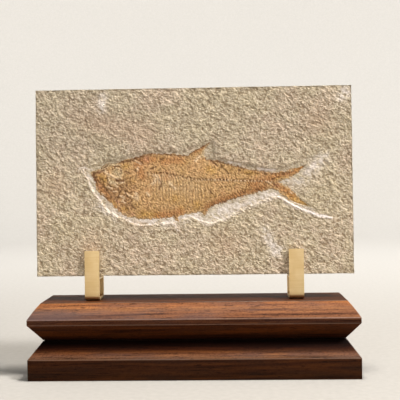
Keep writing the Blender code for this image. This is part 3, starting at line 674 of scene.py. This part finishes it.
# the relief's lumps and grain kept as a mask for painted shade and light
masks["lift"] = (0.8 * lump + 0.7 * grain) * (1 - 0.3 * belly)
for name, values in masks.items():
    full = np.zeros(len(points))
    full[onFace] = values
    paint(mesh, name, full)
standUp(bpy.context.object)
fishPiece = newPiece("fishBone", "fossil_fish")
print("fish:", len(mesh.polygons), "faces")


# the brass clips: one strip each, bent to a U, with a shelf soldered under the slab
clip = {
    "width": 9.5, "thickness": 1.6,
    "bend": 2.2, "bendSteps": 10,                     # radius at the middle of the strip
    "gap": 0.3, "frontTop": 32.2, "backTop": 38,    # heights above the stand's top
    "slabLift": 15.7, "standTop": 48.4, "round": 0.28,
    "shelfNarrower": 0.02, "shelfOverlap": 0.6,       # so that it joins the legs cleanly
    "left": 0.4 - 131.7 / 2, "right": 0.4 + 131.7 / 2,
}


def sideView(depth, up):
    # (y, z) in mm of a point depth into the stone and up the slab's face
    return Vector((slab["corner"][1] + depth * math.cos(lean) + up * math.sin(lean),
                   slab["corner"][2] - depth * math.sin(lean) + up * math.cos(lean)))


def addLeaning(addShape, x, place, sizes):
    # a plane or cube of these sizes (mm) that leans with the slab
    deselectAll()
    addShape(size=mm, location=(x * mm, place.x * mm, place.y * mm))
    switchTo("EDIT")
    bpy.ops.transform.resize(value=sizes)
    switchTo("OBJECT")
    bpy.context.object.rotation_euler = (-lean, 0, 0)
    applyTransform()
    return bpy.context.object


def roundEdges(width, sharpest, smoothest, slotNumber):
    # bevels the edges over one angle, and smooths the shading under the other (degrees)
    bpy.ops.object.modifier_add(type="BEVEL")
    edges = bpy.context.object.modifiers[-1]
    edges.width = width * mm
    edges.segments = 3
    edges.limit_method = "ANGLE"
    edges.angle_limit = math.radians(sharpest)
    edges.material = slotNumber
    bpy.ops.object.modifier_apply(modifier=edges.name)
    bpy.ops.object.shade_smooth_by_angle(angle=math.radians(smoothest))


def makeClip(name, x):
    half = clip["thickness"] / 2
    footZ = clip["standTop"] + clip["gap"] + half
    frontTop = sideView(-clip["gap"] - half, (clip["frontTop"] - clip["slabLift"]) / math.cos(lean))
    backTop = sideView(slab["thickness"] + clip["gap"] + half,
                       (clip["backTop"] - clip["slabLift"]) / math.cos(lean))
    downLeg = Vector((-math.sin(lean), -math.cos(lean)))
    frontTurn, backTurn = math.pi / 2 + lean, math.pi / 2 - lean
    frontCut, backCut = (clip["bend"] * math.tan(turn / 2) for turn in (frontTurn, backTurn))
    frontFoot = frontTop + downLeg * ((frontTop.y - footZ) / math.cos(lean))
    backFoot = backTop + downLeg * ((backTop.y - footZ) / math.cos(lean))

    strip = addLeaning(bpy.ops.mesh.primitive_plane_add, x, frontTop, (clip["width"], clip["thickness"], 1))
    switchTo("EDIT")
    bpy.ops.mesh.select_all(action="SELECT")

    def run(direction, length):
        bpy.ops.mesh.extrude_region_move(TRANSFORM_OT_translate={
            "value": (0, direction.x * length * mm, direction.y * length * mm)})

    def bend(turn, y):
        bpy.ops.mesh.spin(steps=clip["bendSteps"], angle=-turn, axis=(1, 0, 0),
                          center=(0, y * mm, (footZ + clip["bend"]) * mm))

    run(downLeg, (frontTop - frontFoot).length - frontCut)
    bend(frontTurn, frontFoot.x + frontCut)
    run(Vector((1, 0)), backFoot.x - frontFoot.x - (frontCut + backCut))
    bend(backTurn, backFoot.x - backCut)
    run(-downLeg, (backTop - backFoot).length - backCut)
    bpy.ops.mesh.select_all(action="SELECT")
    bpy.ops.mesh.remove_doubles(threshold=0.01 * mm)
    bpy.ops.mesh.normals_make_consistent(inside=False)

    shelfWidth = clip["width"] - clip["shelfNarrower"]
    shelfLength = slab["thickness"] + 2 * clip["gap"] + clip["shelfOverlap"]
    shelf = addLeaning(bpy.ops.mesh.primitive_cube_add, x, sideView(slab["thickness"] / 2, -clip["gap"] - half),
                       (shelfWidth, shelfLength, clip["thickness"]))
    deselectAll()
    strip.select_set(True)
    bpy.context.view_layer.objects.active = strip
    solder = strip.modifiers.new("solder", "BOOLEAN")
    solder.operation = "UNION"
    solder.object = shelf
    bpy.ops.object.modifier_apply(modifier="solder")
    bpy.data.objects.remove(shelf)
    roundEdges(clip["round"], 40, 35, -1)
    return newPiece(name + "Brass", name)


clipPieces = [makeClip("clip_left", clip["left"]), makeClip("clip_right", clip["right"])]
print("clips:", [len(piece.data.polygons) for piece in clipPieces])


# the walnut stand: two mitred blocks
stand = {
    "length": 210, "depth": 52, "arris": 0.4,
    # (inset, height) of each level, from the bottom up
    "plinth": [(0, 0), (0, 13.3), (8.6, 24.05)],
    "top": [(8.6, 24.35), (0, 35.1), (0, 38.6), (1.65, 41.05), (3.35, 43.5), (5.3, 45.95), (7.5, 48.4)],
}


def makeBlock(name, levels, replaced):
    deselectAll()
    bpy.ops.mesh.primitive_plane_add(size=mm, location=(0, 0, levels[0][1] * mm))
    applyTransform()
    switchTo("EDIT")
    length, depth = stand["length"] - 2 * levels[0][0], stand["depth"] - 2 * levels[0][0]
    bpy.ops.transform.resize(value=(length, depth, 1))
    for (_, low), (inset, high) in zip(levels, levels[1:]):
        bpy.ops.mesh.extrude_region_move(TRANSFORM_OT_translate={"value": (0, 0, (high - low) * mm)})
        nextLength, nextDepth = stand["length"] - 2 * inset, stand["depth"] - 2 * inset
        bpy.ops.transform.resize(value=(nextLength / length, nextDepth / depth, 1))
        length, depth = nextLength, nextDepth
    bpy.ops.mesh.select_all(action="SELECT")
    bpy.ops.mesh.normals_make_consistent(inside=False)
    switchTo("OBJECT")
    for _ in range(2):    # one slot for the faces, one for the rounded edges
        bpy.context.object.data.materials.append(None)
    roundEdges(stand["arris"], 20, 25, 1)
    return newPiece(name, replaced)


plinthPiece = makeBlock("plinthWalnut", stand["plinth"], "plinth")
topPiece = makeBlock("topWalnut", stand["top"], "stand_top")
print("stand:", len(plinthPiece.data.polygons), len(topPiece.data.polygons), "faces")


# split limestone: matt and granular, chalk-white where a tool has bruised it, with painted shade in the low places
# of its grain, on the hollow's upper wall and towards its top and left, and painted light on the grain's high
# places
limestone, tree = newMaterial("splitLimestone")
place = addNode(tree, "TexCoord").outputs["Object"]
masks = {name: addNode(tree, "Attribute", {"attribute_name": name}).outputs["Fac"]
         for name in ("lift", "scratched", "bruised", "shaded", "tint", "paintedShadeTopLeft", "sawn")}
# the grains are 1.6 x 0.6 mm, coarser than the real ones so that they show
grainPlace = addNode(tree, "Mapping", {"vector_type": "TEXTURE"}, {
    "Vector": place, "Rotation": (0, math.radians(-slab["grainTurn"]), 0), "Scale": (0.0016, 0.0006, 0.0006)})
beds, mottle, grains = (   # blotches of 24 mm and mottling of 4.5 mm
    addNode(tree, "TexNoise", inputs={"Vector": where, "Scale": 1 / size, "Detail": detail, "Roughness": rough})
    for where, size, detail, rough in [
        (place, 0.024, 3, 0.6), (place, 0.0045, 4, 0.65), (grainPlace, 1, 2, 0.6)])
# dark grains lie where the bump is deepest and light ones where it stands highest: the stone's own grains, with
# painted shade in the pits and painted highlight on the crests
mottled, darkGrainsAndPitShade, lightGrainsAndCrestHighlight = (
    addNode(tree, "ValToRGB", {"stops": stops}, {"Fac": source})
    for source, stops in [(mottle, [(0.35, 0), (0.68, 1)]), (grains, [(0.5, 0), (0.7, 1)]),
                          (grains, [(0.3, 1), (0.46, 0)])])
stone = addNode(tree, "ValToRGB", {"stops": [
    (0.36, "#C6B79C"), (0.46, "#C9BAA1"), (0.56, "#CBB9A3"), (0.66, "#CDB8A3")]}, {"Fac": beds})
# painted shade on the grain's low places and painted light on its high places, following the relief
stone = shadeBy(tree, stone, masks["lift"], 1, [(0.15, "#BEB4A8"), (0.5, 0.92), (0.85, 1.18)])
stone = layOver(tree, stone, [
    (mottled, 0.4, "#B2A488"), (darkGrainsAndPitShade, 0.65, "#957F62"), (lightGrainsAndCrestHighlight, 0.6, "#EBDFCC"),
    # painted shade towards the top and the left, and painted shade on the hollow's upper wall
    (masks["tint"], 0.4, "#BE9F86"), (masks["paintedShadeTopLeft"], 0.2, "#8E8A80"), (masks["shaded"], 0.22, "#A39A8C"),
    (masks["bruised"], 0.85, "#E3D9D0"), (masks["scratched"], 1, "#ECE1DC"), (masks["sawn"], 0.6, "#CFC4AE")])
bump = addNode(tree, "Bump", {"invert": True}, {"Height": grains, "Strength": 1, "Distance": 0.0007})
shader = addNode(tree, "BsdfPrincipled", inputs={
    "Base Color": stone, "Roughness": 0.93, "IOR": 1.45, "Specular IOR Level": 0.25, "Normal": bump})
addNode(tree, "OutputMaterial", inputs={"Surface": shader})
slabPiece.data.materials.append(limestone)

# mineralised fish bone and scale: matt to faintly waxy, ochre to umber, thin enough for the stone to show
bone, tree = newMaterial("fossilBone")
place = addNode(tree, "TexCoord").outputs["Object"]
masks = {name: addNode(tree, "Attribute", {"attribute_name": name}).outputs["Fac"]
         for name in ("lift", "umber", "ivory", "gold", "rose", "rust", "slate", "stony", "ribs")}
blotch, mottle, specks = (   # 11 mm, 2.2 mm and 0.9 mm
    addNode(tree, "TexNoise", inputs={"Vector": place, "Scale": 1 / size, "Detail": detail, "Roughness": rough})
    for size, detail, rough in [(0.011, 3, 0.6), (0.0022, 4, 0.7), (0.0009, 2, 0.6)])
mottled, dark, light = (
    addNode(tree, "ValToRGB", {"stops": stops}, {"Fac": source})
    for source, stops in [(mottle, [(0.42, 0), (0.66, 1)]), (specks, [(0.56, 0), (0.7, 1)]),
                          (specks, [(0.28, 1), (0.42, 0)])])
tone = addNode(tree, "ValToRGB", {"stops": [
    (0.36, "#B08A56"), (0.5, "#BA9464"), (0.64, "#BC9062")]}, {"Fac": blotch})
tone = layOver(tree, tone, [
    (mottled, 0.65, "#CDAA7C"), (masks["gold"], 0.6, "#BE9348"), (masks["rust"], 0.55, "#AA6A34"),
    (masks["slate"], 0.6, "#8E6A4A"), (masks["rose"], 0.45, "#AD7A6A"), (masks["stony"], 0.9, "#BDAA88"),
    (masks["ivory"], 0.75, "#DCC3A2"), (light, 0.5, "#D8BA8C")])
tone = shadeBy(tree, tone, masks["ribs"], 0.5, [(0, 0.76), (0.5, 1), (1, 1.16)])
# painted shade on the bone's low places and painted light on its high places, following its relief
tone = shadeBy(tree, tone, masks["lift"], 0.8, [(0.15, "#AEA79A"), (0.5, 0.95), (0.85, 1.26)])
tone = layOver(tree, tone, [(dark, 0.7, "#7E552F"), (masks["umber"], 0.85, "#5E3A1E")])
bump = addNode(tree, "Bump", {"invert": True}, {"Height": specks, "Strength": 0.6, "Distance": 0.0003})
shader = addNode(tree, "BsdfPrincipled", inputs={
    "Base Color": tone, "Roughness": 0.72, "IOR": 1.5, "Specular IOR Level": 0.35, "Normal": bump})
addNode(tree, "OutputMaterial", inputs={"Surface": shader})
fishPiece.data.materials.append(bone)

# satin brass: a soft lit sheen from fine brush lines across the strip
brass, tree = newMaterial("brushedSatinBrass")
place = addNode(tree, "TexCoord").outputs["Object"]
brushPlace = addNode(tree, "Mapping", {"vector_type": "TEXTURE"}, {
    "Vector": place, "Scale": (0.016, 0.001, 0.00032)})    # lines 0.3 mm apart
brushed = addNode(tree, "TexNoise", inputs={"Vector": brushPlace, "Scale": 1, "Detail": 3, "Roughness": 0.6})
tarnish = addNode(tree, "TexNoise", inputs={"Vector": place, "Scale": 1 / 0.009, "Detail": 3})
metal = addNode(tree, "ValToRGB", {"stops": [(0.35, "#DABD8B"), (0.65, "#E1C89A")]}, {"Fac": tarnish})
lines = addNode(tree, "ValToRGB", {"stops": [(0.4, 0), (0.7, 0.45)]}, {"Fac": brushed})
metal = layOver(tree, metal, [(lines, 1, "#D0B07A")])
rough = addNode(tree, "ValToRGB", {"stops": [(0.3, 0.44), (0.7, 0.54)]}, {"Fac": brushed})
bump = addNode(tree, "Bump", inputs={"Height": brushed, "Strength": 0.2, "Distance": 0.00004})
shader = addNode(tree, "BsdfPrincipled", inputs={
    "Base Color": metal, "Metallic": 1, "Roughness": rough, "Normal": bump})
addNode(tree, "OutputMaterial", inputs={"Surface": shader})
for piece in clipPieces:
    piece.data.materials.append(brass)

# oiled walnut: the grain runs along the blocks, in growth bands with dark pores and a low satin sheen
walnutColours = {
    "oiledWalnut": {"light": "#BA7648", "middle": "#91593A", "dark": "#50301F", "cloud": "#7A5649",
                    "pore": "#45291F", "paintedSheen": "#8A6E62", "sheen": 0.5, "gloss": 0.05},
    # the rounded edges: a lighter copy of the walnut, partly worn and partly a painted highlight
    "walnutArrisWornAndHighlit": {"light": "#D09A78", "middle": "#B98862", "dark": "#8F6650", "cloud": "#A28270",
                          "pore": "#6B4A3A", "paintedSheen": "#A08478", "sheen": 0.38, "gloss": 0.3},
}
# painted light and shade by height: dark on the upright faces, darkest as painted shade under the top block's
# overhang and up the plinth's slope to the neck, darker on the top where the slab shades it, and lighter, as
# painted light, on the upward slopes
lightRampHeight = 0.0486    # at which its last stop would be 1
paintedLightAndShade = [
    (0, "#5A5344"), (0.258, "#5E5548"), (0.268, "#746658"), (0.297, "#CDE4F8"), (0.32, "#CEDEF0"),
    (0.343, "#B9B6AE"), (0.367, "#7D7261"), (0.39, "#5F4E3F"), (0.413, "#382C22"), (0.437, "#271D16"),
    (0.495, "#19110C"), (0.6, "#6A573B"), (0.715, "#7A664B"), (0.735, "#767276"), (0.78, "#7A767A"),
    (0.8, "#B1BACE"), (0.84, "#BFC6D4"), (0.88, "#CEDAEA"), (0.915, "#D7E6EE"), (0.955, "#E4EAEA"),
    (0.985, "#D4D6CE"), (0.993, "#857C70")]
walnuts = []
for name, wood in walnutColours.items():
    material, tree = newMaterial(name)
    place = addNode(tree, "TexCoord").outputs["Object"]
    noises = {}
    for part, size, detail in [
            ("bands", (0.07, 0.0018, 0.0018), 5), ("fibres", (0.006, 0.0004, 0.0004), 3),
            ("pores", (0.006, 0.0007, 0.0007), 1), ("clouds", (0.045, 0.008, 0.006), 3),
            ("flecks", (0.0011, 0.0007, 0.0007), 2)]:
        space = addNode(tree, "Mapping", {"vector_type": "TEXTURE"}, {
            "Vector": place, "Location": (0, 0.021, 0.013), "Scale": size})
        noises[part] = addNode(tree, "TexNoise", inputs={
            "Vector": space, "Scale": 1, "Detail": detail, "Roughness": 0.62})
    tone = addNode(tree, "ValToRGB", {"stops": [
        (0.36, wood["dark"]), (0.46, wood["middle"]), (0.58, wood["light"])]}, {"Fac": noises["bands"]})
    for part, stops, colour in [
            ("clouds", [(0.46, 0), (0.64, 0.75)], "cloud"), ("fibres", [(0.44, 0), (0.68, 0.6)], "middle"),
            ("flecks", [(0.3, 0.35), (0.45, 0)], "light"), ("flecks", [(0.52, 0), (0.7, 0.5)], "dark"),
            ("pores", [(0.6, 0), (0.7, 0.7)], "pore")]:
        mask = addNode(tree, "ValToRGB", {"stops": stops}, {"Fac": noises[part]})
        tone = layOver(tree, tone, [(mask, 1, wood[colour])])
    # painted sheen: near the left end the lower part of the top's slope is painted grey, where a reflection would
    # lie
    place3 = addNode(tree, "SeparateXYZ", inputs={"Vector": place})
    level = addNode(tree, "Math", {"operation": "DIVIDE"}, {0: place3.outputs["Z"], 1: lightRampHeight})
    along = addNode(tree, "Math", {"operation": "MULTIPLY_ADD"}, {
        0: place3.outputs["X"], 1: -4, 2: noises["clouds"]})
    paintedSheenAlong = addNode(tree, "ValToRGB", {"stops": [(0.4, 0), (0.85, 0.65)]}, {"Fac": along})
    paintedSheenLevel = addNode(tree, "ValToRGB", {"stops": [
        (0.785, 0), (0.8, 1), (0.86, 0.8), (0.93, 0)]}, {"Fac": level})
    tone = layOver(tree, tone, [(paintedSheenAlong, paintedSheenLevel, wood["paintedSheen"])])
    # painted light and shade by height, multiplied into the wood's colour
    shadedByHeight = addNode(tree, "ValToRGB", {"stops": paintedLightAndShade}, {"Fac": level})
    tone = addNode(tree, "Mix", {"data_type": "RGBA", "blend_type": "MULTIPLY"}, {
        0: 1, 6: tone, 7: shadedByHeight}).outputs[2]
    bump = addNode(tree, "Bump", {"invert": True}, {"Height": mask, "Strength": 0.35, "Distance": 0.00012})
    rough = addNode(tree, "ValToRGB", {"stops": [(0.3, wood["sheen"]), (0.7, wood["sheen"] + 0.12)]},
                    {"Fac": noises["fibres"]})
    shader = addNode(tree, "BsdfPrincipled", inputs={
        "Base Color": tone, "Roughness": rough, "IOR": 1.5, "Specular IOR Level": wood["gloss"], "Normal": bump})
    addNode(tree, "OutputMaterial", inputs={"Surface": shader})
    walnuts.append(material)
for piece in (plinthPiece, topPiece):
    for slotNumber, material in enumerate(walnuts):
        piece.data.materials[slotNumber] = material
print("materials made")

# the studio: a round paper floor whose rim sweeps up into a wall
studio = {"radius": 1.2, "sweep": 0.7, "wall": 0.8, "steps": 12}
deselectAll()
bpy.ops.mesh.primitive_circle_add(vertices=128, radius=studio["radius"], fill_type="NGON", location=(0, 0, 0))
floor = bpy.context.object
floor.name = "studioFloor"
switchTo("EDIT")
selectRim()
for i in range(studio["steps"]):
    near, far = (math.pi / 2 * k / studio["steps"] for k in (i, i + 1))
    extrudeEdges(studio["sweep"] * (math.cos(near) - math.cos(far)))
    nearRadius, farRadius = (studio["radius"] + studio["sweep"] * math.sin(angle) for angle in (near, far))
    bpy.ops.transform.resize(value=(farRadius / nearRadius, farRadius / nearRadius, 1))
extrudeEdges(studio["wall"])
switchTo("OBJECT")
bpy.ops.object.shade_smooth()
# matt backdrop paper, its fibres too fine to see
paper, tree = newMaterial("studioPaper")
place = addNode(tree, "TexCoord").outputs["Object"]
fibre = addNode(tree, "TexNoise", inputs={"Vector": place, "Scale": 1 / 0.004, "Detail": 3})
pulp = addNode(tree, "ValToRGB", {"stops": [(0.3, "#ACA9A4"), (0.7, "#B2AFAA")]}, {"Fac": fibre})
shader = addNode(tree, "BsdfPrincipled", inputs={"Base Color": pulp, "Roughness": 0.9})
addNode(tree, "OutputMaterial", inputs={"Surface": shader})
floor.data.materials.append(paper)

lights = {   # name: (place, aimed at, size in m, watts, colour)
    "key": ((1.6, -0.8, 1.75), (0, 0, 0.12), 0.38, 62, "#FFFCF9"),
    "top": ((0.06, -0.015, 0.95), (0, 0, 0.05), 0.1, 7, "#FFF9F0"),
    "front": ((-0.25, -0.95, 0.3), (0, 0, 0.08), 0.5, 1, "#FFFAF2"),
    "wallLeft": ((-0.5, 0.5, 1.1), (-0.9, 1.9, 0.4), 0.7, 16, "#FFFFFF"),
    "wallRight": ((0.5, 0.5, 1.1), (0.9, 1.9, 0.4), 0.7, 16, "#FFFFFF"),
    "wallFront": ((0, -0.5, 1.3), (0, -1.9, 0.5), 0.7, 8, "#FFFFFF"),
}
for name, (spot, target, size, watts, tint) in lights.items():
    lamp = bpy.data.lights.new(name, "AREA")
    lamp.size = size
    lamp.energy = watts
    lamp.color = linear(tint)[:3]
    lampObject = bpy.data.objects.new(name, lamp)
    lampObject.location = spot
    lampObject.rotation_euler = (Vector(target) - Vector(spot)).to_track_quat("-Z", "Y").to_euler()
    lampObject.visible_camera = False
    bpy.context.scene.collection.objects.link(lampObject)
world = bpy.data.worlds.new("studio")
world.use_nodes = True
background = world.node_tree.nodes["Background"]
background.inputs["Color"].default_value = linear("#EAE7E4")
background.inputs["Strength"].default_value = 0.2
bpy.context.scene.world = world
bpy.context.scene.view_settings.view_transform = "Standard"
print("stage and lights set")
